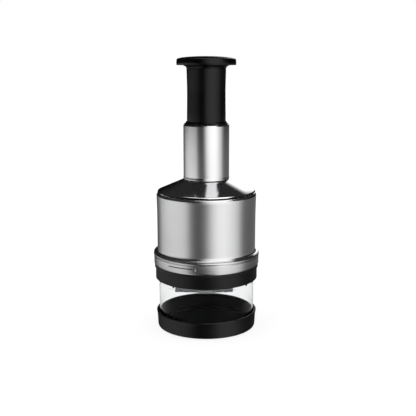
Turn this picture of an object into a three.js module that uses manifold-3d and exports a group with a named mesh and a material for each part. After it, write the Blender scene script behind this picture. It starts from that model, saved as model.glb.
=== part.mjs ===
// Hand-press vegetable chopper: a sprung plunger drives a zigzag blade down through a slotted
// wiper plate into a clear cup that stands on a black base cap.
// Millimetres, +Z up. The origin is on the axis, at the underside of the base cap.

import * as THREE from 'three';
import { mergeVertices } from 'three/addons/utils/BufferGeometryUtils.js';
import Module from 'manifold-3d';

// ---------------------------------------------------------------- driving dimensions
const HEIGHT = 250.0;          // base underside to the crown of the press cap
const GAP = 0.3;               // running and seating gap between separate pieces
const SEG_LARGE = 36;          // facets round the drum, collar, cup and base
const SEG_MEDIUM = 24;         // facets round the neck and the handle
const SEG_SMALL = 12;          // facets round spindles, washers and screws

const BASE_RIM_R = 46.9;       // widest radius of the base cap
const BASE_RIM_Z = 15.5;       // top of the base cap's rim
const FLOOR_Z = 3.4;           // chopping floor
const FLOOR_RECESS_Z = 2.6;    // recessed middle of the floor
const FLOOR_RECESS_R = 37.0;

const CUP_R_BOTTOM = 44.0;     // outer radius of the clear cup at its foot
const CUP_R_TOP = 44.4;
const CUP_WALL = 1.5;
const CUP_TOP_Z = 64.6;

const COLLAR_R = 47.4;
const COLLAR_BOTTOM_Z = 46.6;
const COLLAR_TOP_Z = 60.0;

const RING_R = 48.75;          // lock ring, lower band
const RING_BEAD_R = 49.2;      // lock ring, top bead: the widest place on the object
const RING_BOTTOM_Z = 60.3;
const RING_TOP_Z = 71.5;

const BODY_R = 45.6;           // drum
const BODY_FOOT_Z = 71.8;
const BODY_TOP_Z = 126.9;
const SHEET = 0.8;             // thickness of the drawn steel

const CONE_FOOT_Z = 127.2;
const CONE_TOP_Z = 139.3;

const NECK_R = 20.95;
const NECK_FOOT_Z = 139.6;
const NECK_TOP_Z = 189.2;
const NECK_BORE_R = 19.7;

const STEM_R = 17.6;
const STEM_FOOT_Z = 162.0;
const STEM_TOP_Z = 239.0;
const CAP_R = 26.95;

const STROKE = 33.0;           // travel of the press cap
const STROKE_TURN = 36.0;      // degrees that the blade turns in one stroke
const TWIST = -(STROKE_TURN / STROKE) * Math.PI / 180;   // spindle twist, radians per mm of height

const BLADE_EDGE_Z = 37.0;     // cutting edge at rest
const BLADE_TOP_Z = 91.5;
const BLADE_THICK = 0.9;
const HOLDER_Z = 88.0;

const SPRING_R = 11.2;         // mean radius of the coils
const SPRING_WIRE_R = 0.9;
const SPRING_FOOT_Z = 125.6;
const SPRING_HEAD_Z = 204.6;
const SPRING_TURNS = 9.5;

// Centre line of the zigzag blade, seen from above.
const ZIGZAG = [
  [-28.6, -21.0], [23.6, -21.0], [24.6, -18.5], [-34.0, -4.5],
  [-34.4, -2.0], [30.4, 17.4], [29.4, 20.0], [-26.0, 23.4],
];

// ---------------------------------------------------------------- solids
const wasm = await Module();
wasm.setup();

// Position-only indexed geometry with shared vertices, no degenerate triangles, faces outward.
function weld(geometry) {
  const g = geometry.index ? geometry.toNonIndexed() : geometry.clone();
  for (const name of Object.keys(g.attributes)) if (name !== 'position') g.deleteAttribute(name);
  const merged = mergeVertices(g, 1e-4);
  const p = merged.attributes.position;
  const index = [];
  const src = merged.index.array;
  for (let i = 0; i < src.length; i += 3) {
    const [a, b, c] = [src[i], src[i + 1], src[i + 2]];
    if (a !== b && b !== c && c !== a) index.push(a, b, c);
  }
  let volume = 0;
  const [va, vb, vc] = [new THREE.Vector3(), new THREE.Vector3(), new THREE.Vector3()];
  for (let i = 0; i < index.length; i += 3) {
    va.fromBufferAttribute(p, index[i]);
    vb.fromBufferAttribute(p, index[i + 1]);
    vc.fromBufferAttribute(p, index[i + 2]);
    volume += va.dot(vb.clone().cross(vc));
  }
  if (volume < 0) {
    for (let i = 0; i < index.length; i += 3) {
      const t = index[i + 1];
      index[i + 1] = index[i + 2];
      index[i + 2] = t;
    }
  }
  merged.setIndex(index);
  return merged;
}

function toSolid(geometry) {
  const g = weld(geometry);
  return new wasm.Manifold(new wasm.Mesh({
    numProp: 3,
    vertProperties: new Float32Array(g.attributes.position.array),
    triVerts: new Uint32Array(g.index.array),
  }));
}

function fromSolid(solid) {
  const m = solid.getMesh();
  const g = new THREE.BufferGeometry();
  g.setAttribute('position', new THREE.BufferAttribute(new Float32Array(m.vertProperties), 3));
  g.setIndex(new THREE.BufferAttribute(new Uint32Array(m.triVerts), 1));
  return g;
}

// Body of revolution about Z from a list of [radius, height] pairs. A profile that starts and
// ends on the axis is left open there, any other closes on itself.
function lathe(profile, segments) {
  const points = profile.map(([r, z]) => new THREE.Vector2(r, z));
  if (!(profile[0][0] === 0 && profile[profile.length - 1][0] === 0)) points.push(points[0].clone());
  const g = new THREE.LatheGeometry(points, segments);
  g.rotateX(Math.PI / 2);
  return weld(g);
}

function rod(radius, z0, z1, segments, x = 0, y = 0) {
  const g = new THREE.CylinderGeometry(radius, radius, z1 - z0, segments);
  g.rotateX(Math.PI / 2);
  g.translate(x, y, (z0 + z1) / 2);
  return weld(g);
}

function block(sx, sy, z0, z1, x = 0, y = 0, angle = 0) {
  const g = new THREE.BoxGeometry(sx, sy, z1 - z0);
  g.translate(x, y, (z0 + z1) / 2);
  g.rotateZ(angle);
  return weld(g);
}

// Part of a ring between two radii and two angles, as an upright extrusion.
function sector(r0, r1, a0, a1, z0, z1, steps) {
  const shape = new THREE.Shape();
  for (let i = 0; i <= steps; i++) {
    const a = a0 + (a1 - a0) * i / steps;
    if (i === 0) shape.moveTo(r1 * Math.cos(a), r1 * Math.sin(a));
    else shape.lineTo(r1 * Math.cos(a), r1 * Math.sin(a));
  }
  for (let i = steps; i >= 0; i--) {
    const a = a0 + (a1 - a0) * i / steps;
    shape.lineTo(r0 * Math.cos(a), r0 * Math.sin(a));
  }
  shape.closePath();
  const g = new THREE.ExtrudeGeometry(shape, { depth: z1 - z0, bevelEnabled: false, steps: 1 });
  g.translate(0, 0, z0);
  return weld(g);
}

function join(...geometries) {
  let s = toSolid(geometries[0]);
  for (const g of geometries.slice(1)) s = s.add(toSolid(g));
  return fromSolid(s);
}

function cut(geometry, ...tools) {
  let s = toSolid(geometry);
  for (const g of tools) s = s.subtract(toSolid(g));
  return fromSolid(s);
}

// Upright zigzag ribbon of a given thickness along the blade's centre line.
function ribbon(thickness, z0, z1) {
  const pieces = [];
  for (let i = 0; i + 1 < ZIGZAG.length; i++) {
    const [ax, ay] = ZIGZAG[i];
    const [bx, by] = ZIGZAG[i + 1];
    const length = Math.hypot(bx - ax, by - ay);
    const extra = (i === 0 || i === ZIGZAG.length - 2) ? (thickness - BLADE_THICK) / 2 : 0;
    const shift = i === 0 ? -extra / 2 : extra / 2;
    const g = new THREE.BoxGeometry(length + extra, thickness, z1 - z0);
    g.translate(shift, 0, 0);
    g.rotateZ(Math.atan2(by - ay, bx - ax));
    g.translate((ax + bx) / 2, (ay + by) / 2, (z0 + z1) / 2);
    pieces.push(g);
    if (i > 0) pieces.push(rod(thickness / 2, z0, z1, 10, ax, ay));
  }
  return join(...pieces);
}

// Flat bar twisted about Z by TWIST per mm, so that its section at height z is turned by TWIST * z.
function twistedBar(width, depth, z0, z1, steps) {
  const g = new THREE.BoxGeometry(width, depth, z1 - z0, 2, 1, steps);
  g.translate(0, 0, (z0 + z1) / 2);
  const p = g.attributes.position;
  for (let i = 0; i < p.count; i++) {
    const [x, y, z] = [p.getX(i), p.getY(i), p.getZ(i)];
    const a = TWIST * z;
    p.setXYZ(i, x * Math.cos(a) - y * Math.sin(a), x * Math.sin(a) + y * Math.cos(a), z);
  }
  return weld(g);
}

class Helix extends THREE.Curve {
  constructor(radius, z0, z1, turns) {
    super();
    Object.assign(this, { radius, z0, z1, turns });
  }
  getPoint(t, target = new THREE.Vector3()) {
    const a = 2 * Math.PI * this.turns * t;
    return target.set(this.radius * Math.cos(a), this.radius * Math.sin(a),
      this.z0 + (this.z1 - this.z0) * t);
  }
}

// ---------------------------------------------------------------- materials
const FINISH = {
  blackPlastic: { color: 0x121212, roughness: 0.42, metalness: 0.0 },
  blackGloss: { color: 0x0c0c0c, roughness: 0.28, metalness: 0.0 },
  clearPlastic: { color: 0xeef2f4, roughness: 0.08, metalness: 0.0, transparent: true, opacity: 0.3 },
  steelBrushed: { color: 0xb9babc, roughness: 0.32, metalness: 1.0 },
  steelPolished: { color: 0xc9cacc, roughness: 0.16, metalness: 1.0 },
  steelBlade: { color: 0xa9abae, roughness: 0.25, metalness: 1.0 },
  springSteel: { color: 0x8d8f92, roughness: 0.35, metalness: 1.0 },
  brass: { color: 0xb48a3c, roughness: 0.35, metalness: 1.0 },
  whitePlastic: { color: 0xdcdcd6, roughness: 0.45, metalness: 0.0 },
  darkPlastic: { color: 0x2c2d2f, roughness: 0.5, metalness: 0.0 },
  silicone: { color: 0x3a3b3d, roughness: 0.65, metalness: 0.0 },
};

const group = new THREE.Group();
const baseGroup = new THREE.Group();
const cupGroup = new THREE.Group();
const housingGroup = new THREE.Group();
const handleGroup = new THREE.Group();
const bladeGroup = new THREE.Group();
const wiperGroup = new THREE.Group();
group.add(baseGroup);
baseGroup.add(cupGroup);
cupGroup.add(housingGroup);
housingGroup.add(handleGroup, wiperGroup);
handleGroup.add(bladeGroup);

function place(parent, name, geometry, finish) {
  const mesh = new THREE.Mesh(geometry, new THREE.MeshStandardMaterial({ ...finish, flatShading: true }));
  mesh.name = name;
  parent.add(mesh);
  return mesh;
}

// ---------------------------------------------------------------- base cap
// Cup-shaped lid with a flared rim. Its floor is the chopping board, with a round recess.
place(baseGroup, 'base_cap', lathe([
  [0, 0], [44.0, 0], [45.2, 0.5], [45.7, 1.8], [45.9, 6.0], [46.3, 12.0],
  [BASE_RIM_R, 15.0], [46.5, BASE_RIM_Z], [45.0, BASE_RIM_Z], [44.6, 15.0],
  [44.6, FLOOR_Z], [FLOOR_RECESS_R + 0.3, FLOOR_Z], [FLOOR_RECESS_R - 0.3, FLOOR_RECESS_Z],
  [0, FLOOR_RECESS_Z],
], SEG_LARGE), FINISH.blackPlastic);

// ---------------------------------------------------------------- cup and collar
place(cupGroup, 'clear_cup', lathe([
  [CUP_R_BOTTOM - CUP_WALL, FLOOR_Z + GAP], [CUP_R_BOTTOM, FLOOR_Z + GAP],
  [CUP_R_TOP, CUP_TOP_Z], [CUP_R_TOP - CUP_WALL, CUP_TOP_Z],
], SEG_LARGE), FINISH.clearPlastic);

// Soft ring squeezed between the cup's top edge and the collar's inner ledge.
place(cupGroup, 'cup_seal', lathe([
  [42.8, 64.9], [44.4, 64.9], [44.4, 66.1], [42.8, 66.1],
], SEG_MEDIUM), FINISH.silicone);

// Collar: a band with a rounded lower edge, a flange under the lock ring, an upper sleeve with
// three bayonet lugs, an inner ledge over the cup, and four small snap tabs at its lower edge.
const LUG_ANGLES = [30, 150, 270].map((d) => d * Math.PI / 180);
const TAB_ANGLES = [-130.8, -36.5, 49, 139].map((d) => d * Math.PI / 180);
{
  const band = lathe([
    [44.75, COLLAR_BOTTOM_Z], [47.0, COLLAR_BOTTOM_Z], [COLLAR_R, COLLAR_BOTTOM_Z + 0.5],
    [COLLAR_R, 56.9],
    [48.3, 57.4], [48.3, COLLAR_TOP_Z], [45.6, COLLAR_TOP_Z], [45.6, 69.4], [42.9, 69.4],
    [42.9, 66.4], [44.75, 66.4],
  ], SEG_LARGE);
  const lugs = LUG_ANGLES.map((a) => block(1.7, 8.4, 63.6, 66.4, 46.0, 0, a));
  const tabs = TAB_ANGLES.map((a) => block(0.7, 2.6, 44.2, COLLAR_BOTTOM_Z + 0.6, 45.3, 0, a));
  place(cupGroup, 'cup_collar', join(band, ...lugs, ...tabs), FINISH.blackPlastic);
}

// ---------------------------------------------------------------- housing, outside
// Drum of drawn steel: a flared foot, a straight wall and a rounded top edge turned inward.
place(housingGroup, 'body_shell', lathe([
  [48.7, BODY_FOOT_Z], [48.7, 72.2], [47.4, 72.9], [46.4, 74.4], [45.85, 76.8], [BODY_R, 81.0],
  [BODY_R, 106.0], [46.0, 121.0], [46.0, 124.3], [45.6, 125.6], [44.7, 126.6], [43.4, BODY_TOP_Z],
  [42.9, BODY_TOP_Z], [42.9, BODY_TOP_Z - SHEET], [43.8, 125.95], [44.7, 125.3], [45.15, 124.2],
  [44.95, 106.0], [44.95, 81.0], [45.1, 76.6], [45.6, 74.1], [47.4, BODY_FOOT_Z],
], SEG_LARGE), FINISH.steelBrushed);

// Cone between drum and neck, with a rounded rim turned under at its foot.
place(housingGroup, 'shoulder_cone', lathe([
  [44.2, CONE_FOOT_Z], [45.1, 128.1], [44.9, 128.5], [44.0, 129.15], [20.5, CONE_TOP_Z],
  [20.5, 138.4], [42.6, 128.8], [43.2, 128.1], [43.3, CONE_FOOT_Z],
], SEG_LARGE), FINISH.steelPolished);

// Neck tube, seated on the cone with a small foot and rounded at its mouth.
place(housingGroup, 'neck_tube', lathe([
  [NECK_BORE_R, NECK_FOOT_Z], [21.2, NECK_FOOT_Z], [21.05, 140.6], [NECK_R, 142.0],
  [NECK_R, 188.3], [20.5, NECK_TOP_Z], [NECK_BORE_R, NECK_TOP_Z],
], SEG_MEDIUM), FINISH.steelBrushed);

// Guide bush: a sleeve inside the tube and a tapered collar over its mouth.
place(housingGroup, 'neck_bushing', lathe([
  [18.0, 166.6], [19.4, 166.6], [19.4, 189.5], [20.3, 189.5], [20.0, 189.9], [19.0, 190.6],
  [18.5, 191.3], [18.3, 192.0], [18.0, 192.0],
], SEG_MEDIUM), FINISH.blackPlastic);

// Lock ring: a straight band with a wider, rounded top bead.
place(housingGroup, 'lock_ring', lathe([
  [47.9, RING_BOTTOM_Z], [48.4, RING_BOTTOM_Z], [48.7, 60.7], [RING_R, 68.4], [49.15, 68.9],
  [RING_BEAD_R, 70.4], [49.0, 71.1], [48.6, RING_TOP_Z], [47.9, RING_TOP_Z],
], SEG_LARGE), FINISH.steelBrushed);

place(housingGroup, 'ring_gasket', lathe([
  [46.0, 70.8], [47.6, 70.8], [47.6, RING_TOP_Z], [46.0, RING_TOP_Z],
], SEG_MEDIUM), FINISH.silicone);

// ---------------------------------------------------------------- housing, inside
// Liner: a bell inside the drum. Its skirt carries three L-shaped bayonet slots, and its top
// plate holds the guide nut.
{
  const bell = lathe([
    [9.2, 121.0], [9.2, 124.0], [42.6, 124.0], [44.5, 122.5], [44.6, 70.5], [47.6, 70.5],
    [47.6, 60.4], [45.95, 60.4], [45.95, 69.8], [43.0, 69.8], [43.0, 121.0],
  ], SEG_LARGE);
  const rad = Math.PI / 180;
  const slots = LUG_ANGLES.flatMap((a) => [
    sector(45.4, 48.4, a - 37 * rad, a + 6.2 * rad, 63.2, 66.8, 8),
    sector(45.4, 48.4, a - 37 * rad, a - 24 * rad, 59.8, 65.0, 3),
  ]);
  const screwHoles = [90, 210, 330].map((d) => rod(1.5, 120, 125, 10,
    11.5 * Math.cos(d * rad), 11.5 * Math.sin(d * rad)));
  place(housingGroup, 'housing_liner', cut(bell, ...slots, ...screwHoles), FINISH.darkPlastic);

  // Guide nut: a flanged bush whose bore follows the spindle's twist.
  const nut = lathe([
    [0, 112.0], [8.0, 112.0], [8.9, 112.9], [8.9, 118.0], [14.2, 118.0], [14.2, 120.7],
    [8.9, 120.7], [8.9, 124.2], [0, 124.2],
  ], 24);
  const nutHoles = [90, 210, 330].map((d) => rod(1.5, 117, 122, 10,
    11.5 * Math.cos(d * rad), 11.5 * Math.sin(d * rad)));
  place(housingGroup, 'guide_nut', cut(nut, twistedBar(8.8, 4.8, 110, 126, 6), ...nutHoles),
    FINISH.brass);

  [90, 210, 330].forEach((d, i) => {
    const [x, y] = [11.5 * Math.cos(d * rad), 11.5 * Math.sin(d * rad)];
    const screw = lathe([
      [0, 115.6], [1.9, 115.6], [2.4, 116.2], [2.4, 117.7], [1.15, 117.7], [1.15, 123.6], [0, 123.6],
    ], 12);
    screw.translate(x, y, 0);
    place(housingGroup, `nut_screw_${i + 1}`, screw, FINISH.springSteel);
  });
}

place(housingGroup, 'spring_seat', lathe([
  [9.6, 124.5], [14.0, 124.5], [14.0, 125.3], [9.6, 125.3],
], 24), FINISH.springSteel);

// Compression spring between the spring seat and the bearing in the stem.
{
  const section = new THREE.Shape();
  for (let i = 0; i < 5; i++) {
    const a = i * Math.PI * 2 / 5;
    if (i === 0) section.moveTo(SPRING_WIRE_R * Math.cos(a), SPRING_WIRE_R * Math.sin(a));
    else section.lineTo(SPRING_WIRE_R * Math.cos(a), SPRING_WIRE_R * Math.sin(a));
  }
  section.closePath();
  const path = new Helix(SPRING_R, SPRING_FOOT_Z + SPRING_WIRE_R + 0.1,
    SPRING_HEAD_Z - SPRING_WIRE_R - 0.1, SPRING_TURNS);
  place(housingGroup, 'return_spring', weld(new THREE.ExtrudeGeometry(section,
    { steps: 86, extrudePath: path, bevelEnabled: false })), FINISH.springSteel);
}

// Sleeve that hangs in the mouth of the cup and carries the wiper plate on its lower lip.
place(housingGroup, 'wiper_carrier', lathe([
  [37.4, 47.0], [37.4, 48.6], [39.7, 48.6], [39.7, 72.0], [40.9, 74.0], [40.9, 79.0],
  [42.7, 79.0], [42.7, 70.2], [41.3, 68.8], [41.3, 47.6], [40.7, 47.0],
], SEG_LARGE), FINISH.darkPlastic);

place(housingGroup, 'wiper_retainer', lathe([
  [37.6, 51.6], [39.4, 51.6], [39.4, 53.1], [37.6, 53.1],
], SEG_MEDIUM), FINISH.darkPlastic);

// ---------------------------------------------------------------- wiper plate
// Round plate with a slot that follows the blade.
place(wiperGroup, 'wiper_plate', cut(lathe([
  [0, 48.9], [39.3, 48.9], [39.3, 51.3], [0, 51.3],
], SEG_LARGE), ribbon(BLADE_THICK + 1.1, 47, 53)), FINISH.whitePlastic);

// ---------------------------------------------------------------- handle
// Press cap: a flanged, gently crowned knob whose skirt flares out of the stem. A spigot enters
// the stem and a central boss takes the screw.
place(handleGroup, 'press_cap', lathe([
  [0, HEIGHT], [8.5, 249.8], [16.5, 249.35], [21.5, 248.8], [24.6, 248.1], [26.2, 247.1],
  [26.85, 245.7], [CAP_R, 243.6], [26.8, 242.5], [26.4, 242.1], [21.4, 242.0], [19.5, 241.4],
  [18.6, 240.6], [18.0, 239.3], [14.3, 239.3], [14.3, 227.0], [12.3, 227.0], [12.3, 246.4],
  [5.0, 246.4], [5.0, 225.4], [2.2, 225.4], [2.2, 238.0], [0, 238.0],
], SEG_MEDIUM), FINISH.blackPlastic);

// Stem: a slightly waisted tube with a stop flange at its foot and a web for the screw.
place(handleGroup, 'grip_stem', lathe([
  [14.6, STEM_FOOT_Z], [19.2, STEM_FOOT_Z], [19.2, 166.0], [STEM_R, 166.2], [17.65, 194.0],
  [17.48, 206.0], [17.4, 218.0], [17.5, 226.0], [17.7, 234.0], [17.85, STEM_TOP_Z],
  [14.6, STEM_TOP_Z], [14.6, 225.1], [2.4, 225.1], [2.4, 222.0], [12.4, 222.0], [12.4, 211.0],
  [14.6, 211.0],
], SEG_MEDIUM), FINISH.blackPlastic);

place(handleGroup, 'cap_screw', lathe([
  [0, 219.4], [3.4, 219.4], [4.1, 220.2], [4.1, 221.7], [1.9, 221.7], [1.9, 236.0], [0, 236.0],
], SEG_SMALL), FINISH.springSteel);

// Bearing that the spindle turns in. The return spring pushes it up against the stem's step.
place(handleGroup, 'bearing_cup', lathe([
  [3.2, 205.0], [14.2, 205.0], [14.2, 210.7], [7.0, 210.7], [7.0, 209.4], [3.2, 209.4],
], 24), FINISH.whitePlastic);

place(handleGroup, 'thrust_washer', lathe([
  [3.2, 204.0], [6.8, 204.0], [6.8, 204.7], [3.2, 204.7],
], SEG_SMALL), FINISH.brass);

// ---------------------------------------------------------------- blade and spindle
// Spindle: a pivot, a round shank, a twisted flat that runs in the guide nut, and a lower
// shank with a tapped hole.
{
  const lower = lathe([
    [0, 99.0], [1.9, 99.0], [1.9, 91.4], [3.5, 91.4], [3.5, 105.0], [0, 105.0],
  ], SEG_SMALL);
  const upper = lathe([
    [0, 158.0], [4.4, 159.0], [4.4, 203.7], [2.85, 203.7], [2.85, 213.4], [2.3, 214.0], [0, 214.0],
  ], SEG_SMALL);
  place(bladeGroup, 'spindle', join(twistedBar(8.0, 4.0, 103.5, 160.5, 18), lower, upper),
    FINISH.springSteel);
}

place(bladeGroup, 'spindle_clip', lathe([
  [3.15, 209.8], [5.8, 209.8], [5.8, 210.8], [3.15, 210.8],
], SEG_SMALL), FINISH.springSteel);

// Holder: a disc with a hub, grooved underneath for the top of the blade.
place(bladeGroup, 'blade_holder', cut(lathe([
  [1.95, HOLDER_Z], [36.6, HOLDER_Z], [37.0, 88.6], [37.0, 92.6], [36.4, 93.2], [10.0, 93.2],
  [8.6, 94.6], [8.2, 101.0], [3.85, 101.0], [3.85, 91.0], [1.95, 91.0],
], SEG_LARGE), ribbon(BLADE_THICK + 0.6, 87, BLADE_TOP_Z + GAP)), FINISH.darkPlastic);

place(bladeGroup, 'chopping_blade', ribbon(BLADE_THICK, BLADE_EDGE_Z, BLADE_TOP_Z), FINISH.steelBlade);

place(bladeGroup, 'blade_screw', lathe([
  [0, 85.2], [3.8, 85.2], [4.6, 86.0], [4.6, 87.7], [1.6, 87.7], [1.6, 98.4], [0, 98.4],
], SEG_SMALL), FINISH.springSteel);

export default group;
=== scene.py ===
"""Looks for the hand-press vegetable chopper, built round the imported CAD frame. Metres, +Z up."""
import math

import bmesh
import bpy
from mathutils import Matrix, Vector


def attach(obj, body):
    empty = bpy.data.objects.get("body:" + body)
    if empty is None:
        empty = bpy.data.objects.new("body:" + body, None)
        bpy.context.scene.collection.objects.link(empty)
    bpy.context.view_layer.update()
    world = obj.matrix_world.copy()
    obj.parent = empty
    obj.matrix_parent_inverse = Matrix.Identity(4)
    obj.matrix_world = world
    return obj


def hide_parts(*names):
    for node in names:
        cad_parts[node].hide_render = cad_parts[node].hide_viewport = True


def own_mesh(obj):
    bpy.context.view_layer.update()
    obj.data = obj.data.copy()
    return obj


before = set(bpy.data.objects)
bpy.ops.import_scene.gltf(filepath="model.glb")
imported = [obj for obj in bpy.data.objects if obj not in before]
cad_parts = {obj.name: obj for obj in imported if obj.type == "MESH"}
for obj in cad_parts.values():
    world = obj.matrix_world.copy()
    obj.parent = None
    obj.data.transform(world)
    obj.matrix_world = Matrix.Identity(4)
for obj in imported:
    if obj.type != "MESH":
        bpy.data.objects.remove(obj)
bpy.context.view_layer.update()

MM = 0.001
scene = bpy.context.scene
scene.view_settings.view_transform = "Standard"
scene.view_settings.look = "None"

# ------------------------------------------------------------------ camera
cam_data = bpy.data.cameras.new("camera")
cam = bpy.data.objects.new("camera", cam_data)
scene.collection.objects.link(cam)
cam_data.sensor_width = 36.0
cam_data.lens = 66.42
cam_data.clip_start, cam_data.clip_end = 0.01, 50.0
cam.location = (0.00152, -0.6999, 0.24553)
cam.rotation_euler = (math.radians(90.0 - 10.833), 0.0, 0.0)
scene.camera = cam


# ------------------------------------------------------------------ node helpers
def new_material(name):
    mat = bpy.data.materials.new(name)
    mat.use_nodes = True
    nt = mat.node_tree
    nt.nodes.clear()
    out = nt.nodes.new("ShaderNodeOutputMaterial")
    bsdf = nt.nodes.new("ShaderNodeBsdfPrincipled")
    nt.links.new(bsdf.outputs["BSDF"], out.inputs["Surface"])
    return mat, nt, bsdf


def node(nt, kind, **values):
    n = nt.nodes.new(kind)
    for k, v in values.items():
        if k.startswith("_"):
            setattr(n, k[1:], v)
        else:
            n.inputs[k.replace("__", " ")].default_value = v
    return n


def coords(nt, scale=(1, 1, 1)):
    tc = nt.nodes.new("ShaderNodeTexCoord")
    mp = nt.nodes.new("ShaderNodeMapping")
    mp.inputs["Scale"].default_value = scale
    nt.links.new(tc.outputs["Object"], mp.inputs["Vector"])
    return tc, mp


def noise(nt, vec, scale, detail=3.0, rough=0.5):
    n = nt.nodes.new("ShaderNodeTexNoise")
    n.inputs["Scale"].default_value = scale
    n.inputs["Detail"].default_value = detail
    n.inputs["Roughness"].default_value = rough
    nt.links.new(vec, n.inputs["Vector"])
    return n


def ramp(nt, fac, stops):
    r = nt.nodes.new("ShaderNodeValToRGB")
    while len(r.color_ramp.elements) > 1:
        r.color_ramp.elements.remove(r.color_ramp.elements[-1])
    first = True
    for pos, col in stops:
        c = col if isinstance(col, (tuple, list)) else (col, col, col)
        e = r.color_ramp.elements[0] if first else r.color_ramp.elements.new(pos)
        e.position = pos
        e.color = (*c[:3], 1.0)
        first = False
    nt.links.new(fac, r.inputs["Fac"])
    return r


def math_node(nt, op, a, b=None, clamp=False):
    m = nt.nodes.new("ShaderNodeMath")
    m.operation = op
    m.use_clamp = clamp
    for i, v in enumerate((a, b)):
        if v is None:
            continue
        if isinstance(v, (int, float)):
            m.inputs[i].default_value = v
        else:
            nt.links.new(v, m.inputs[i])
    return m.outputs[0]


def map_range(nt, value, lo, hi, to_lo, to_hi):
    m = nt.nodes.new("ShaderNodeMapRange")
    m.inputs["From Min"].default_value = lo
    m.inputs["From Max"].default_value = hi
    m.inputs["To Min"].default_value = to_lo
    m.inputs["To Max"].default_value = to_hi
    nt.links.new(value, m.inputs["Value"])
    return m.outputs["Result"]


def bump(nt, height, strength, distance, normal=None):
    b = nt.nodes.new("ShaderNodeBump")
    b.inputs["Strength"].default_value = strength
    b.inputs["Distance"].default_value = distance
    nt.links.new(height, b.inputs["Height"])
    if normal is not None:
        nt.links.new(normal, b.inputs["Normal"])
    return b.outputs["Normal"]


def cylinder_coords(nt):
    """Radius, angle (0..1) and height about the Z axis, from object coordinates."""
    tc = nt.nodes.new("ShaderNodeTexCoord")
    sep = nt.nodes.new("ShaderNodeSeparateXYZ")
    nt.links.new(tc.outputs["Object"], sep.inputs["Vector"])
    x, y, z = sep.outputs["X"], sep.outputs["Y"], sep.outputs["Z"]
    r = math_node(nt, "SQRT", math_node(nt, "ADD", math_node(nt, "MULTIPLY", x, x), math_node(nt, "MULTIPLY", y, y)))
    a = math_node(nt, "ARCTAN2", y, x)
    return tc, x, y, z, r, a


# ------------------------------------------------------------------ materials
def steel(name, base, rough, brush, scale_z, aniso, wobble=0.02):
    """Steel brushed round the Z axis: fine rings of scratches, a slow colour drift and handling marks."""
    mat, nt, bsdf = new_material(name)
    tc, x, y, z, r, a = cylinder_coords(nt)
    comb = nt.nodes.new("ShaderNodeCombineXYZ")
    # Scratches are long round the axis and thin along the height and the radius.
    nt.links.new(math_node(nt, "MULTIPLY", a, 1.6), comb.inputs[0])
    nt.links.new(math_node(nt, "MULTIPLY", z, scale_z), comb.inputs[1])
    nt.links.new(math_node(nt, "MULTIPLY", r, scale_z), comb.inputs[2])
    fine = noise(nt, comb.outputs[0], 1.0, 6.0, 0.7)
    wide = nt.nodes.new("ShaderNodeCombineXYZ")
    nt.links.new(math_node(nt, "MULTIPLY", a, 0.7), wide.inputs[0])
    nt.links.new(math_node(nt, "MULTIPLY", z, scale_z * 0.22), wide.inputs[1])
    nt.links.new(math_node(nt, "MULTIPLY", r, scale_z * 0.22), wide.inputs[2])
    broad = noise(nt, wide.outputs[0], 1.0, 3.0, 0.6)
    cloud = noise(nt, tc.outputs["Object"], 22.0, 3.0, 0.55)
    tone = math_node(nt, "ADD", math_node(nt, "MULTIPLY", fine.outputs["Fac"], 0.55),
                     math_node(nt, "MULTIPLY", broad.outputs["Fac"], 0.45))
    lo = tuple(c * (1 - brush) for c in base)
    hi = tuple(min(1.0, c * (1 + brush)) for c in base)
    col = ramp(nt, tone, [(0.25, lo), (0.75, hi)])
    smudge = nt.nodes.new("ShaderNodeMix")
    smudge.data_type = "RGBA"
    smudge.blend_type = "MULTIPLY"
    nt.links.new(map_range(nt, cloud.outputs["Fac"], 0.35, 0.75, 0.0, 0.12), smudge.inputs["Factor"])
    nt.links.new(col.outputs["Color"], smudge.inputs["A"])
    smudge.inputs["B"].default_value = (0.90, 0.91, 0.93, 1.0)
    nt.links.new(smudge.outputs["Result"], bsdf.inputs["Base Color"])
    bsdf.inputs["Metallic"].default_value = 1.0
    rr = math_node(nt, "ADD", map_range(nt, tone, 0.2, 0.8, rough - 0.05, rough + 0.05),
                   map_range(nt, cloud.outputs["Fac"], 0.3, 0.8, -wobble, wobble * 2))
    nt.links.new(rr, bsdf.inputs["Roughness"])
    nt.links.new(bump(nt, tone, 0.16, 0.00002), bsdf.inputs["Normal"])
    if aniso:
        bsdf.inputs["Anisotropic"].default_value = aniso
        bsdf.inputs["Anisotropic Rotation"].default_value = 0.25
        tan = nt.nodes.new("ShaderNodeTangent")
        tan.direction_type = "RADIAL"
        tan.axis = "Z"
        nt.links.new(tan.outputs["Tangent"], bsdf.inputs["Tangent"])
    return mat


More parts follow.
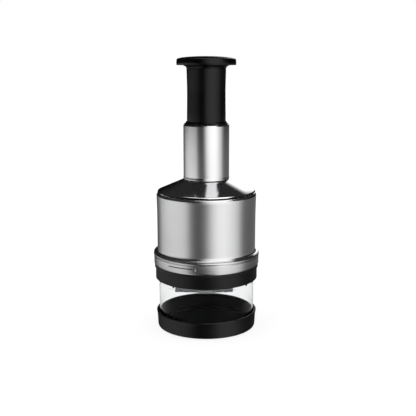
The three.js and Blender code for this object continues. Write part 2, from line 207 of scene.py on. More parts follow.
def plastic(name, dark, light, rough, grain=2600.0, depth=0.00002, level=0.5, matte_below=None):
    """Moulded plastic: a fine spark-eroded grain, faint flow marks and slightly rubbed patches."""
    mat, nt, bsdf = new_material(name)
    tc, mp = coords(nt)
    cloud = noise(nt, mp.outputs["Vector"], 35.0, 4.0, 0.6)
    specks = noise(nt, mp.outputs["Vector"], grain, 2.0, 0.5)
    flow = nt.nodes.new("ShaderNodeMapping")
    flow.inputs["Scale"].default_value = (1.0, 1.0, 0.18)
    nt.links.new(tc.outputs["Object"], flow.inputs["Vector"])
    marks = noise(nt, flow.outputs["Vector"], 160.0, 2.0, 0.5)
    mixv = math_node(nt, "ADD", math_node(nt, "MULTIPLY", cloud.outputs["Fac"], 0.65),
                     math_node(nt, "MULTIPLY", marks.outputs["Fac"], 0.35))
    col = ramp(nt, mixv, [(0.3, dark), (0.75, light)])
    nt.links.new(col.outputs["Color"], bsdf.inputs["Base Color"])
    nt.links.new(map_range(nt, mixv, 0.25, 0.75, rough - 0.04, rough + 0.05), bsdf.inputs["Roughness"])
    bsdf.inputs["IOR"].default_value = 1.45
    bsdf.inputs["Specular IOR Level"].default_value = level
    if matte_below:
        # The inside below this height (the chopping floor) is scuffed matte.
        sep = nt.nodes.new("ShaderNodeSeparateXYZ")
        nt.links.new(tc.outputs["Object"], sep.inputs["Vector"])
        r2 = math_node(nt, "ADD", math_node(nt, "MULTIPLY", sep.outputs["X"], sep.outputs["X"]),
                       math_node(nt, "MULTIPLY", sep.outputs["Y"], sep.outputs["Y"]))
        inside = math_node(nt, "LESS_THAN", r2, matte_below[0] ** 2)
        low = math_node(nt, "LESS_THAN", sep.outputs["Z"], matte_below[1])
        nt.links.new(map_range(nt, math_node(nt, "MULTIPLY", inside, low), 0.0, 1.0, level, level * 0.35),
                     bsdf.inputs["Specular IOR Level"])
    height = math_node(nt, "ADD", specks.outputs["Fac"], math_node(nt, "MULTIPLY", marks.outputs["Fac"], 0.4))
    nt.links.new(bump(nt, height, 0.22, depth), bsdf.inputs["Normal"])
    return mat


def clear(name):
    """Clear moulded plastic with very faint scuffs and flow lines."""
    mat, nt, bsdf = new_material(name)
    tc, x, y, z, r, a = cylinder_coords(nt)
    comb = nt.nodes.new("ShaderNodeCombineXYZ")
    nt.links.new(math_node(nt, "MULTIPLY", a, 9.0), comb.inputs[0])
    nt.links.new(math_node(nt, "MULTIPLY", z, 60.0), comb.inputs[1])
    nt.links.new(r, comb.inputs[2])
    scuff = noise(nt, comb.outputs[0], 2.0, 5.0, 0.65)
    flow = noise(nt, tc.outputs["Object"], 30.0, 2.0, 0.5)
    col = ramp(nt, scuff.outputs["Fac"], [(0.35, (0.985, 0.99, 0.99)), (0.8, (0.95, 0.96, 0.965))])
    nt.links.new(col.outputs["Color"], bsdf.inputs["Base Color"])
    nt.links.new(map_range(nt, scuff.outputs["Fac"], 0.45, 0.85, 0.01, 0.04), bsdf.inputs["Roughness"])
    nt.links.new(bump(nt, flow.outputs["Fac"], 0.05, 0.00003), bsdf.inputs["Normal"])
    bsdf.inputs["Transmission Weight"].default_value = 1.0
    bsdf.inputs["IOR"].default_value = 1.13
    vol = nt.nodes.new("ShaderNodeVolumeAbsorption")
    vol.inputs["Color"].default_value = (0.30, 0.31, 0.31, 1.0)
    vol.inputs["Density"].default_value = 30.0
    out = [n for n in nt.nodes if n.bl_idname == "ShaderNodeOutputMaterial"][0]
    nt.links.new(vol.outputs["Volume"], out.inputs["Volume"])
    return mat


def turned(name, base, rough, metallic=1.0):
    """Plain machined or drawn metal with tool rings and a little tarnish."""
    mat, nt, bsdf = new_material(name)
    tc, mp = coords(nt, (1, 1, 14))
    rings = noise(nt, mp.outputs["Vector"], 700.0, 3.0, 0.6)
    stain = noise(nt, tc.outputs["Object"], 90.0, 4.0, 0.6)
    mixv = math_node(nt, "ADD", math_node(nt, "MULTIPLY", rings.outputs["Fac"], 0.5),
                     math_node(nt, "MULTIPLY", stain.outputs["Fac"], 0.5))
    lo = tuple(c * 0.8 for c in base)
    hi = tuple(min(1.0, c * 1.12) for c in base)
    nt.links.new(ramp(nt, mixv, [(0.3, lo), (0.7, hi)]).outputs["Color"], bsdf.inputs["Base Color"])
    bsdf.inputs["Metallic"].default_value = metallic
    nt.links.new(map_range(nt, mixv, 0.25, 0.75, rough - 0.06, rough + 0.08), bsdf.inputs["Roughness"])
    nt.links.new(bump(nt, rings.outputs["Fac"], 0.2, 0.00002), bsdf.inputs["Normal"])
    return mat


M = {
    "drum": steel("steel_drum", (0.60, 0.60, 0.605), 0.20, 0.045, 5200.0, 0.55),
    "neck": steel("steel_neck", (0.62, 0.62, 0.625), 0.17, 0.035, 5200.0, 0.45),
    "ring": steel("steel_ring", (0.545, 0.545, 0.55), 0.22, 0.13, 2600.0, 0.5),
    "cone": steel("steel_cone", (0.60, 0.60, 0.605), 0.10, 0.02, 5200.0, 0.0, 0.01),
    "blade": turned("steel_blade", (0.15, 0.155, 0.16), 0.34),
    "edge": turned("steel_edge", (0.62, 0.63, 0.64), 0.16),
    "pin": turned("steel_pin", (0.62, 0.62, 0.63), 0.5),
    "bevel": turned("steel_bevel", (0.17, 0.175, 0.18), 0.24),
    "spring": turned("steel_spring", (0.40, 0.41, 0.42), 0.33),
    "brass": turned("brass_turned", (0.55, 0.39, 0.15), 0.30),
    "black": plastic("plastic_black", (0.0016, 0.0016, 0.0017), (0.0030, 0.0030, 0.0032), 0.32, level=0.31),
    "grip": plastic("plastic_grip", (0.0006, 0.0006, 0.0007), (0.0014, 0.0014, 0.0015), 0.25, level=0.29),
    "base": plastic("plastic_base", (0.0013, 0.0013, 0.0014), (0.0026, 0.0026, 0.0028), 0.30, level=0.33,
                    matte_below=(0.0446, 0.0040)),
    "dark": plastic("plastic_dark", (0.018, 0.018, 0.019), (0.030, 0.030, 0.032), 0.42),
    "white": plastic("plastic_white", (0.60, 0.60, 0.57), (0.70, 0.70, 0.67), 0.40, depth=0.00001),
    "silicone": plastic("silicone_dark", (0.006, 0.006, 0.0065), (0.012, 0.012, 0.0125), 0.55, level=0.4),
    "mark": plastic("mark_dark", (0.006, 0.006, 0.0065), (0.012, 0.012, 0.0125), 0.50, level=0.3),
    "clear": clear("plastic_clear"),
}


# ------------------------------------------------------------------ mesh helpers
def rounded(profile, steps=5):
    """Profile points (r, z, fillet radius) in mm. Each corner with a radius becomes an arc. Returns [(r, z)]."""
    n = len(profile)
    closed = not (profile[0][0] == 0 and profile[-1][0] == 0)
    out = []
    for i, p in enumerate(profile):
        rad = p[2] if len(p) > 2 else 0.0
        if rad <= 0 or (not closed and i in (0, n - 1)):
            out.append((p[0], p[1]))
            continue
        a, b, c = Vector(profile[i - 1][:2]), Vector(p[:2]), Vector(profile[(i + 1) % n][:2])
        u, v = (a - b), (c - b)
        lu, lv = u.length, v.length
        u.normalize(), v.normalize()
        ang = u.angle(v)
        if ang > math.pi - 0.02:
            out.append((p[0], p[1]))
            continue
        t = min(rad / math.tan(ang / 2), lu * 0.48, lv * 0.48)
        rr = t * math.tan(ang / 2)
        centre = b + (u + v).normalized() * (rr / math.sin(ang / 2))
        s, e = b + u * t, b + v * t
        a0 = math.atan2(s.y - centre.y, s.x - centre.x)
        a1 = math.atan2(e.y - centre.y, e.x - centre.x)
        d = (a1 - a0 + math.pi) % (2 * math.pi) - math.pi
        for k in range(steps + 1):
            t2 = a0 + d * k / steps
            out.append((centre.x + rr * math.cos(t2), centre.y + rr * math.sin(t2)))
    return out


def smooth_line(points, per=6):
    """Catmull-Rom through (r, z) points."""
    res = []
    n = len(points)
    for i in range(n - 1):
        p0 = points[max(i - 1, 0)]
        p1, p2 = points[i], points[i + 1]
        p3 = points[min(i + 2, n - 1)]
        for k in range(per):
            t = k / per
            res.append(tuple(
                0.5 * (2 * p1[j] + (p2[j] - p0[j]) * t + (2 * p0[j] - 5 * p1[j] + 4 * p2[j] - p3[j]) * t * t
                       + (3 * p1[j] - p0[j] - 3 * p2[j] + p3[j]) * t ** 3) for j in (0, 1)))
    res.append(points[-1])
    return res


def add_object(name, bm, mat, sharp=32.0):
    bmesh.ops.remove_doubles(bm, verts=bm.verts, dist=1e-7)
    bmesh.ops.recalc_face_normals(bm, faces=bm.faces)
    me = bpy.data.meshes.new(name)
    bm.to_mesh(me)
    bm.free()
    me.shade_smooth()
    me.set_sharp_from_angle(angle=math.radians(sharp))
    ob = bpy.data.objects.new(name, me)
    scene.collection.objects.link(ob)
    for m in (mat if isinstance(mat, (list, tuple)) else [mat]):
        me.materials.append(m)
    return ob


def lathe_bm(points, segments=192):
    """Closed body of revolution about Z from (r, z) in mm."""
    bm = bmesh.new()
    closed = not (points[0][0] < 1e-6 and points[-1][0] < 1e-6)
    rings = []
    for r, z in points:
        if r < 1e-6:
            rings.append([bm.verts.new((0, 0, z * MM))] * segments)
        else:
            rings.append([bm.verts.new((r * MM * math.cos(2 * math.pi * k / segments),
                                        r * MM * math.sin(2 * math.pi * k / segments), z * MM))
                          for k in range(segments)])
    pairs = list(zip(rings, rings[1:]))
    if closed:
        pairs.append((rings[-1], rings[0]))
    for a, b in pairs:
        for k in range(segments):
            j = (k + 1) % segments
            loop = []
            for v in (a[k], a[j], b[j], b[k]):
                if v not in loop:
                    loop.append(v)
            if len(loop) >= 3:
                bm.faces.new(loop)
    return bm


def lathe(name, profile, mat, segments=192, steps=5, sharp=32.0):
    return add_object(name, lathe_bm(rounded(profile, steps), segments), mat, sharp)


def boolean(ob, tools, op="DIFFERENCE"):
    for t in tools:
        m = ob.modifiers.new("cut", "BOOLEAN")
        m.operation = op
        m.solver = "EXACT"
        m.object = t
    dg = bpy.context.evaluated_depsgraph_get()
    me = bpy.data.meshes.new_from_object(ob.evaluated_get(dg))
    old = ob.data
    ob.modifiers.clear()
    ob.data = me
    bpy.data.meshes.remove(old)
    for t in tools:
        data = t.data
        bpy.data.objects.remove(t)
        bpy.data.meshes.remove(data)
    return ob


def arc_block(name, r0, r1, a0, a1, z0, z1, mat, steps=24, corner=0.0):
    """Curved bar between two radii (mm), two angles (degrees from the front, positive to the right) and two heights."""
    bm = bmesh.new()
    rows = []
    for k in range(steps + 1):
        a = math.radians(a0 + (a1 - a0) * k / steps)
        # rounded ends: the bar narrows near its two ends
        h = 1.0
        if corner > 0:
            edge = min(k, steps - k) / steps * abs(a1 - a0) * math.pi / 180 * r1
            h = math.sqrt(max(0.0, 1 - (1 - min(edge / corner, 1.0)) ** 2)) * 0.999 + 0.001
        zc, hz = (z0 + z1) / 2, (z1 - z0) / 2 * h
        s, c = math.sin(a), -math.cos(a)
        rows.append([bm.verts.new((r * MM * s, r * MM * c, z * MM))
                     for r, z in ((r0, zc - hz), (r1, zc - hz), (r1, zc + hz), (r0, zc + hz))])
    for a, b in zip(rows, rows[1:]):
        for i in range(4):
            j = (i + 1) % 4
            bm.faces.new((a[i], a[j], b[j], b[i]))
    bm.faces.new(rows[0])
    bm.faces.new(list(reversed(rows[-1])))
    return add_object(name, bm, mat)


def dress(ob, body, slot, *nodes):
    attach(ob, body)
    if nodes:
        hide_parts(*nodes)
    return ob


# ------------------------------------------------------------------ base cap
base_profile = [
    (0, 0.0), (38.0, 0.0, 0.3), (38.4, 0.4, 0.3), (39.8, 0.4, 0.3), (40.2, 0.0, 0.3), (44.0, 0.0, 0.8),
    (45.3, 0.5, 0.9), (45.75, 1.8, 1.5), (45.95, 6.0, 6.0), (46.3, 12.0, 5.0), (46.9, 15.0, 0.25),
    (46.4, 15.5, 0.3), (44.9, 15.5, 0.3), (44.6, 14.8, 0.5), (44.6, 3.4, 0.8), (37.6, 3.4, 0.5),
    (36.9, 2.6, 0.5), (0, 2.6),
]
base = lathe("base_cap_fine", base_profile, M["base"], steps=6)
dress(base, "base", "black_plastic", "base_cap")

# ------------------------------------------------------------------ cup
cup_profile = [
    (42.75, 3.72, 0.5), (44.0, 3.72, 0.5), (44.25, 42.6, 0.2), (44.45, 42.9, 0.15), (44.45, 43.5, 0.15),
    (44.27, 43.8, 0.2), (44.4, 64.6, 0.5), (43.0, 64.6, 0.4),
]
cup = lathe("clear_cup_fine", cup_profile, M["clear"], segments=256)
dress(cup, "cup", "clear_plastic", "clear_cup")

seal = lathe("cup_seal_fine", [(42.8, 64.9, 0.4), (44.4, 64.9, 0.4), (44.4, 66.1, 0.4), (42.8, 66.1, 0.4)],
             M["silicone"], segments=128)
dress(seal, "cup", "silicone", "cup_seal")

# ------------------------------------------------------------------ collar
collar_profile = [
    (44.75, 46.6, 0.3), (47.4, 46.6, 0.45), (47.4, 56.9, 0.3), (48.3, 57.35, 0.45),
    (48.3, 60.0, 0.3), (45.6, 60.0, 0.1), (45.6, 69.4, 0.3), (42.9, 69.4, 0.2), (42.9, 66.4, 0.2),
    (44.75, 66.4, 0.1),
]
collar = lathe("cup_collar_fine", collar_profile, M["black"], steps=6)
dress(collar, "cup", "black_plastic", "cup_collar")

for i, at in enumerate((120, 240, 360)):
    lug = arc_block("bayonet_lug_%d" % (i + 1), 45.2, 46.8, at - 5.0, at + 5.0, 63.65, 66.35,
                    M["black"], steps=10, corner=0.8)
    dress(lug, "cup", "black_plastic")
for i, at in enumerate((-131.0, -40.8, 53.5, 139.0)):
    tab = arc_block("snap_tab_%d" % (i + 1), 44.98, 45.58, at - 1.3, at + 1.3, 44.6, 47.6,
                    M["black"], steps=8, corner=0.5)
    dress(tab, "cup", "black_plastic")

# ------------------------------------------------------------------ lock ring
ring_profile = [
    (47.9, 60.3, 0.1), (48.5, 60.3, 0.35), (48.72, 61.3, 0.4), (48.85, 68.25, 0.2), (48.7, 68.5, 0.1),
    (48.7, 68.8, 0.1), (49.1, 69.1, 0.25), (49.2, 70.0, 0.8), (49.0, 71.3, 0.8), (47.9, 71.3, 0.3),
]
ring = lathe("lock_ring_fine", ring_profile, M["ring"], segments=256, steps=6)
groove = arc_block("t1", 48.30, 49.6, -44.0, -12.6, 65.15, 65.95, M["mark"], steps=48, corner=0.5)
slot_cut = arc_block("t2", 48.25, 49.6, -13.6, -9.3, 62.6, 67.1, M["mark"], steps=12, corner=0.6)
ring = boolean(ring, [groove, slot_cut])
ring.data.materials.clear()
ring.data.materials.append(M["ring"])
for p in ring.data.polygons:
    p.material_index = 0
ring.data.set_sharp_from_angle(angle=math.radians(32))
dress(ring, "housing", "brushed_steel", "lock_ring")
ink = arc_block("lock_mark_line", 48.22, 48.42, -44.0, -14.4, 65.17, 65.93, M["mark"], steps=48, corner=0.5)
dress(ink, "housing", "dark_plastic")
bar_ink = arc_block("lock_mark_slot", 48.12, 48.32, -13.55, -9.35, 62.65, 67.05, M["mark"], steps=12, corner=0.6)
dress(bar_ink, "housing", "dark_plastic")
bar = arc_block("lock_mark_pin", 48.34, 48.86, -12.7, -10.2, 63.1, 66.6, M["pin"], steps=10, corner=0.5)
dress(bar, "housing", "polished_steel")

gasket = lathe("ring_gasket_fine", [(46.0, 70.8, 0.2), (47.6, 70.8, 0.2), (47.6, 71.4, 0.25), (46.0, 71.4, 0.2)],
               M["silicone"], segments=192)
dress(gasket, "housing", "silicone", "ring_gasket")

# ------------------------------------------------------------------ drum, cone, neck
flare = [(48.6, 71.62), (48.8, 71.68), (48.86, 71.8), (48.75, 71.92)] + smooth_line(
    [(48.3, 71.97), (47.0, 72.04), (46.25, 72.3), (45.86, 72.9), (45.66, 73.9), (45.57, 76.0), (45.55, 86.0),
     (45.55, 92.0)], 6)
flare_in = smooth_line([(44.95, 90.0), (44.95, 76.0), (45.0, 73.6), (45.3, 72.3), (46.0, 71.75), (47.4, 71.62)], 6)
shoulder = [(45.55, 92.0), (45.62, 108.0), (45.95, 122.6)]
for k in range(13):
    t = math.radians(90.0 * k / 12)
    shoulder.append((43.5 + 2.5 * math.cos(t), 124.45 + 2.5 * math.sin(t)))
drum_points = (flare + shoulder[1:] + [(42.9, 126.95), (42.9, 126.1), (43.6, 126.05), (44.6, 125.6), (45.15, 124.6),
                                       (45.2, 119.0), (44.95, 105.0)] + flare_in)
drum = add_object("body_shell_fine", lathe_bm(drum_points, 256), M["drum"], 40)
dress(drum, "housing", "brushed_steel", "body_shell")

cone = lathe("shoulder_cone_fine", [
    (43.2, 127.9), (45.12, 128.0), (44.93, 128.33), (44.69, 128.63), (44.39, 128.87), (44.0, 129.1), (20.5, 139.3, 0.2), (20.5, 138.4, 0.2), (42.6, 128.8, 0.3)], M["cone"], segments=256, steps=8,
    sharp=40)
dress(cone, "housing", "polished_steel", "shoulder_cone")

neck = lathe("neck_tube_fine", [
    (19.7, 139.6, 0.1), (21.18, 139.6, 0.2), (21.1, 140.5, 0.5), (20.95, 142.0, 2.0), (20.95, 188.3, 0.9),
    (20.5, 189.2, 0.4), (19.7, 189.2, 0.2)],
    M["neck"], segments=192, steps=6, sharp=40)
dress(neck, "housing", "brushed_steel", "neck_tube")

bush = lathe("neck_bushing_fine", [
    (18.0, 166.6, 0.2), (19.4, 166.6, 0.3), (19.4, 189.5, 0.1), (20.3, 189.5, 0.15), (20.15, 189.85, 0.3),
    (18.8, 190.9, 1.0), (18.35, 192.0, 0.2), (18.0, 192.0, 0.1)], M["grip"], segments=160)
dress(bush, "housing", "black_plastic", "neck_bushing")

# ------------------------------------------------------------------ stem and press cap
stem_side = smooth_line([(17.6, 166.3), (17.65, 194.0), (17.5, 206.0), (17.4, 218.0), (17.5, 226.0),
                         (17.7, 234.0), (17.84, 238.6)], 8)
stem_points = ([(14.6, 162.0), (19.0, 162.0), (19.2, 162.2), (19.2, 165.8), (19.0, 166.0), (17.7, 166.0)]
               + stem_side + [(17.84, 238.9), (17.74, 239.0), (14.6, 239.0), (14.6, 225.1), (2.4, 225.1), (2.4, 222.0),
                              (12.4, 222.0), (12.4, 211.0), (14.6, 211.0)])
stem = add_object("grip_stem_fine", lathe_bm(stem_points, 160), M["grip"], 32)
dress(stem, "handle", "grip_plastic", "grip_stem")

crown = smooth_line([(0.0001, 250.0), (8.5, 249.84), (16.5, 249.42), (21.5, 248.88), (24.4, 248.3)], 6)
cap_points = ([(0.0, 250.0)] + crown[1:] + rounded([
    (24.4, 248.3), (26.6, 247.75, 1.6), (26.95, 244.0, 1.5), (26.75, 242.05, 0.45), (21.0, 241.95, 1.0),
    (18.4, 240.6, 2.2), (18.0, 239.3, 0.15), (17.55, 239.3), (17.55, 239.04), (14.3, 239.04), (14.3, 227.0, 0.4), (12.3, 227.0, 0.2),
    (12.3, 246.4, 0.5), (5.0, 246.4, 0.3), (5.0, 225.4, 0.2), (2.2, 225.4), (2.2, 238.0), (0, 238.0)], 8)[1:])
cap_points = [(r, z) for r, z in cap_points]
cap_points[-1] = (0.0, 238.0)
cap = add_object("press_cap_fine", lathe_bm(cap_points, 192), M["grip"], 32)
dress(cap, "handle", "grip_plastic", "press_cap")

# ------------------------------------------------------------------ blade
ZIG = [(-28.6, -21.0), (23.6, -21.0), (24.6, -18.5), (-34.0, -4.5), (-34.4, -2.0), (30.4, 17.4),
       (29.4, 20.0), (-26.0, 23.4)]


def fillet_path(points, radius, steps=6):
    out = [Vector(points[0])]
    for i in range(1, len(points) - 1):
        a, b, c = Vector(points[i - 1]), Vector(points[i]), Vector(points[i + 1])
        u, v = (a - b), (c - b)
        lu, lv = u.length, v.length
        u.normalize(), v.normalize()
        ang = u.angle(v)
        t = min(radius / math.tan(ang / 2), lu * 0.45, lv * 0.45)
        rr = t * math.tan(ang / 2)
        centre = b + (u + v).normalized() * (rr / math.sin(ang / 2))
        s, e = b + u * t - centre, b + v * t - centre
        a0, a1 = math.atan2(s.y, s.x), math.atan2(e.y, e.x)
        d = (a1 - a0 + math.pi) % (2 * math.pi) - math.pi
        for k in range(steps + 1):
            t2 = a0 + d * k / steps
            out.append(centre + Vector((rr * math.cos(t2), rr * math.sin(t2))))
    out.append(Vector(points[-1]))
    return out


def ribbon(name, z_rows, mat, edge_mat):
    """Zigzag strip: z_rows is [(z, half thickness)] in mm from the cutting edge up."""
    path = fillet_path(ZIG, 1.3)
    normals = []
    for i in range(len(path)):
        d = path[min(i + 1, len(path) - 1)] - path[max(i - 1, 0)]
        d.normalize()
        normals.append(Vector((-d.y, d.x)))
    bm = bmesh.new()
    grid = []
    for p, n in zip(path, normals):
        loop = [bm.verts.new(((p.x + n.x * h) * MM, (p.y + n.y * h) * MM, z * MM)) for z, h in z_rows]
        loop += [bm.verts.new(((p.x - n.x * h) * MM, (p.y - n.y * h) * MM, z * MM)) for z, h in reversed(z_rows)]
        grid.append(loop)
    m = len(grid[0])
    for a, b in zip(grid, grid[1:]):
        for i in range(m):
            j = (i + 1) % m
            bm.faces.new((a[i], a[j], b[j], b[i]))
    bm.faces.new(grid[0])
    bm.faces.new(list(reversed(grid[-1])))
    ob = add_object(name, bm, [mat, edge_mat], 25)
    limit = (z_rows[0][0] + 2.4) * MM
    for p in ob.data.polygons:
        if all(ob.data.vertices[v].co.z < limit for v in p.vertices):
            p.material_index = 1
    return ob


blade = ribbon("chopping_blade_fine", [(37.0, 0.07), (37.12, 0.12), (39.2, 0.44), (60.0, 0.44), (91.45, 0.44)],
               M["blade"], M["bevel"])
dress(blade, "blade", "blade_steel", "chopping_blade")

# ------------------------------------------------------------------ wiper, carrier, retainer, holder
carrier = lathe("wiper_carrier_fine", [
    (37.4, 47.0, 0.3), (37.4, 48.6, 0.2), (39.7, 48.6, 0.2), (39.7, 72.0, 0.4), (40.9, 74.0, 0.4), (40.9, 79.0, 0.4),
    (42.7, 79.0, 0.4), (42.7, 70.2, 0.3), (41.3, 68.8, 0.4), (41.3, 47.0, 0.9)], M["dark"], segments=192)
dress(carrier, "housing", "dark_plastic", "wiper_carrier")
retainer = lathe("wiper_retainer_fine", [(37.6, 51.6, 0.4), (39.4, 51.6, 0.4), (39.4, 53.1, 0.4), (37.6, 53.1, 0.4)],
                 M["dark"], segments=160)
dress(retainer, "housing", "dark_plastic", "wiper_retainer")


# ------------------------------------------------------------------ return spring
def spring(name, radius, wire, z0, z1, turns, mat, around=14, per_turn=48):
    """Compression spring with closed end coils."""
    bm = bmesh.new()
    total = int(turns * per_turn)
    dead = 1.25
    lo, hi = z0 + wire, z1 - wire
    pitch_dead = wire * 2.06
    live = turns - 2 * dead
    rise = (hi - lo - 2 * dead * pitch_dead) / live
    loops = []
    for k in range(total + 1):
        t = k / per_turn
        if t < dead:
            z = lo + t * pitch_dead
        elif t < dead + live:
            z = lo + dead * pitch_dead + (t - dead) * rise
        else:
            z = hi - (turns - t) * pitch_dead
        a = 2 * math.pi * t
        loop = []
        for m in range(around):
            b = 2 * math.pi * m / around
            rr = radius + wire * math.cos(b)
            loop.append(bm.verts.new((rr * MM * math.cos(a), rr * MM * math.sin(a), (z + wire * math.sin(b)) * MM)))
        loops.append(loop)
    for a, b in zip(loops, loops[1:]):
        for m in range(around):
            j = (m + 1) % around
            bm.faces.new((a[m], a[j], b[j], b[m]))
    bm.faces.new(loops[0])
    bm.faces.new(list(reversed(loops[-1])))
    return add_object(name, bm, mat, 60)


coil = spring("return_spring_fine", 11.2, 0.9, 125.7, 204.4, 9.5, M["spring"])
dress(coil, "housing", "spring_steel", "return_spring")
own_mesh(coil)

# ------------------------------------------------------------------ carried-over CAD nodes
for name, key in {
    "housing_liner": "dark", "guide_nut": "brass", "nut_screw_1": "spring", "nut_screw_2": "spring",
    "nut_screw_3": "spring", "spring_seat": "spring", "cap_screw": "spring", "bearing_cup": "white",
    "thrust_washer": "brass", "spindle": "spring", "spindle_clip": "spring", "blade_holder": "dark",
    "blade_screw": "spring", "wiper_plate": "white",
}.items():
    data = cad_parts[name].data
    data.materials.clear()
    data.materials.append(M[key])

# ------------------------------------------------------------------ stage: floor and light
bpy.ops.mesh.primitive_circle_add(vertices=96, radius=6.0, fill_type="NGON", location=(0, 0, -0.0002))
floor = bpy.context.object
floor.name = "floor"
fmat, fnt, fb = new_material("floor_pale")
ftc, fmp = coords(fnt)
fn = noise(fnt, fmp.outputs["Vector"], 3.0, 2.0, 0.5)
fnt.links.new(ramp(fnt, fn.outputs["Fac"], [(0.3, 0.24), (0.7, 0.26)]).outputs["Color"], fb.inputs["Base Color"])
fb.inputs["Roughness"].default_value = 0.9
fb.inputs["Specular IOR Level"].default_value = 0.0
fb.inputs["Emission Color"].default_value = (1, 1, 1, 1)
fb.inputs["Emission Strength"].default_value = 0.80
floor.data.materials.append(fmat)
floor.visible_glossy = False

world = bpy.data.worlds.new("studio")
scene.world = world
world.use_nodes = True
wt = world.node_tree
wt.nodes.clear()
wout = wt.nodes.new("ShaderNodeOutputWorld")
wtc = wt.nodes.new("ShaderNodeTexCoord")
wsep = wt.nodes.new("ShaderNodeSeparateXYZ")
wt.links.new(wtc.outputs["Generated"], wsep.inputs["Vector"])
wx, wy, wz = wsep.outputs["X"], wsep.outputs["Y"], wsep.outputs["Z"]
# azimuth: 0.5 at the front (-Y), 0.75 to the right (+X), 0.25 to the left, 0 and 1 behind
az = math_node(wt, "ARCTAN2", wx, math_node(wt, "MULTIPLY", wy, -1.0))
azn = math_node(wt, "ADD", math_node(wt, "DIVIDE", az, 2 * math.pi), 0.5)


def deg(d):
    return d / 360.0 + 0.5


# Panels round the object at eye level, read at the height of the drum: (azimuth, brightness).
SIDE = [(-180, 0.06), (-165, 0.06), (-150, 0.14), (-136, 0.36), (-122, 0.78), (-104, 1.04), (-86, 1.13), (-70, 1.09),
        (-56, 1.02), (-46, 0.82), (-36, 0.34), (-28, 0.20), (-18, 0.17), (-8, 0.19), (0, 0.38), (8, 0.80), (16, 1.14),
        (28, 1.31), (42, 1.32), (56, 1.20), (68, 1.10), (78, 0.90), (88, 0.48), (96, 0.27), (108, 0.20), (125, 0.17),
        (142, 0.17), (156, 0.18), (168, 0.18), (180, 0.10)]


def smooth(value, lo, hi, to_lo=0.0, to_hi=1.0):
    m = wt.nodes.new("ShaderNodeMapRange")
    m.interpolation_type = "SMOOTHSTEP"
    m.inputs["From Min"].default_value = lo
    m.inputs["From Max"].default_value = hi
    m.inputs["To Min"].default_value = to_lo
    m.inputs["To Max"].default_value = to_hi
    wt.links.new(value, m.inputs["Value"])
    return m.outputs["Result"]


def wm(op, a, b=None, clamp=False):
    return math_node(wt, op, a, b, clamp)


def mix_value(fac, a, b):
    """a*(1-fac) + b*fac for plain numbers or sockets."""
    return wm("ADD", wm("MULTIPLY", a, wm("SUBTRACT", 1.0, fac)), wm("MULTIPLY", b, fac))


degs = wm("MULTIPLY", az, 180.0 / math.pi)
elev = wm("MULTIPLY", wm("ARCSINE", wz), 180.0 / math.pi)
# The dark gap between the front panels leans: it moves left as the eye rises.
lean = map_range(wt, elev, -13.3, -5.8, -2.85, 11.4)
near = wm("MAXIMUM", wm("SUBTRACT", 1.0, wm("DIVIDE", wm("ABSOLUTE", wm("ADD", degs, 15.0)), 60.0)), 0.0)
leaned = wm("ADD", degs, wm("MULTIPLY", lean, near))
azl = wm("ADD", wm("DIVIDE", leaned, 360.0), 0.5)
side = ramp(wt, azl, [(deg(d), v / 2.0) for d, v in SIDE])
side.color_ramp.interpolation = "LINEAR"
side_value = wm("MULTIPLY", side.outputs["Color"], 2.0)
# The right panel is a little brighter near the height of the neck.
upper = wm("MULTIPLY", smooth(elev, -11.5, -7.5),
           wm("MULTIPLY", smooth(leaned, -4.0, 8.0), smooth(leaned, 50.0, 75.0, 1.0, 0.0)))
side_value = wm("MULTIPLY", side_value, wm("ADD", 1.0, wm("MULTIPLY", upper, 0.34)))
# Near eye level the panels fade out behind, and the left one is dimmer.
behind = smooth(wm("ABSOLUTE", degs), 92.0, 118.0)
level_up = smooth(elev, -4.6, -2.6)
side_value = wm("MULTIPLY", side_value, wm("SUBTRACT", 1.0, wm("MULTIPLY", wm("MULTIPLY", behind, level_up), 0.9)))
side_value = wm("MULTIPLY", side_value, wm("SUBTRACT", 1.0, wm("MULTIPLY", wm("MULTIPLY", level_up, 0.68),
                                                             smooth(degs, -40.0, -15.0, 1.0, 0.0))))
side_value = wm("MAXIMUM", wm("SUBTRACT", side_value, wm("MULTIPLY", level_up, 0.17)), 0.003)
# Below the drum the panels get dimmer towards the sides, and the dark gap widens to the right.
low = smooth(elev, -18.5, -14.5, 1.0, 0.0)
side_value = wm("MULTIPLY", side_value, wm("SUBTRACT", 1.0, wm("MULTIPLY", low, wm(
    "ADD", 0.10, wm("MULTIPLY", smooth(wm("ABSOLUTE", degs), 45.0, 135.0), 0.62)))))
edge = map_range(wt, elev, -20.0, -13.5, 25.0, -15.0)
gap = wm("MULTIPLY", smooth(degs, -34.0, -14.0), smooth(wm("SUBTRACT", degs, edge), -11.0, 11.0, 1.0, 0.0))
gap = wm("MULTIPLY", gap, smooth(elev, -15.5, -13.5, 1.0, 0.0))
side_value = mix_value(gap, side_value, map_range(wt, elev, -20.0, -15.0, 0.01, 0.13))
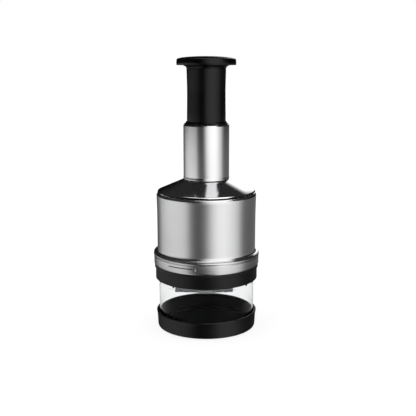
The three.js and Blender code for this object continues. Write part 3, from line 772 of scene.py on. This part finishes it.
# The front right panel goes up to the soft box; the others stop a little above eye level.
tall = wm("MULTIPLY", smooth(degs, -22.0, -8.0), smooth(degs, 56.0, 74.0, 1.0, 0.0))
top = mix_value(tall, mix_value(behind, 6.5, 2.0), 40.0)
above = smooth(wm("SUBTRACT", elev, top), -5.0, 5.0)
lit = mix_value(above, side_value, map_range(wt, elev, 12.0, 34.0, 0.003, 0.027))
# One soft box overhead, to the front right, turned a little in plan.
inv = wm("DIVIDE", 1.0, wm("MAXIMUM", wz, 0.05))
cu, cv = wm("MULTIPLY", wx, inv), wm("MULTIPLY", wy, inv)
across = wm("ADD", cu, wm("MULTIPLY", cv, 0.4255))
box = wm("MULTIPLY", wm("MULTIPLY", smooth(across, -0.31, -0.20), smooth(across, 0.66, 0.78, 1.0, 0.0)),
         wm("MULTIPLY", smooth(cv, -1.05, -0.85), smooth(cv, 0.36, 0.50, 1.0, 0.0)))
lit = mix_value(wm("MULTIPLY", box, smooth(wz, 0.2, 0.4)), lit, 1.95)
# A low panel behind, to the right: a narrow band that leans outward as it rises.
off = wm("SUBTRACT", 180.0, degs)
band = wm("ABSOLUTE", wm("SUBTRACT", off, wm("MULTIPLY", wm("ADD", elev, 10.0), 0.42)))
wedge = wm("MULTIPLY", smooth(band, 4.0, 8.0, 1.0, 0.0),
           wm("MULTIPLY", smooth(elev, -10.2, -9.0), smooth(elev, 24.0, 37.0, 1.0, 0.0)))
lit = mix_value(wedge, lit, 1.7)
comb = wt.nodes.new("ShaderNodeCombineColor")
for i in range(3):
    wt.links.new(lit, comb.inputs[i])
bg_gloss = wt.nodes.new("ShaderNodeBackground")
bg_gloss.inputs["Strength"].default_value = 1.0
wt.links.new(comb.outputs["Color"], bg_gloss.inputs["Color"])
bg_plain = wt.nodes.new("ShaderNodeBackground")
bg_plain.inputs["Color"].default_value = (1.0, 1.0, 1.0, 1.0)
bg_plain.inputs["Strength"].default_value = 1.0
lp = wt.nodes.new("ShaderNodeLightPath")
mixw = wt.nodes.new("ShaderNodeMixShader")
wt.links.new(lp.outputs["Is Glossy Ray"], mixw.inputs["Fac"])
wt.links.new(bg_plain.outputs["Background"], mixw.inputs[1])
wt.links.new(bg_gloss.outputs["Background"], mixw.inputs[2])
wt.links.new(mixw.outputs["Shader"], wout.inputs["Surface"])
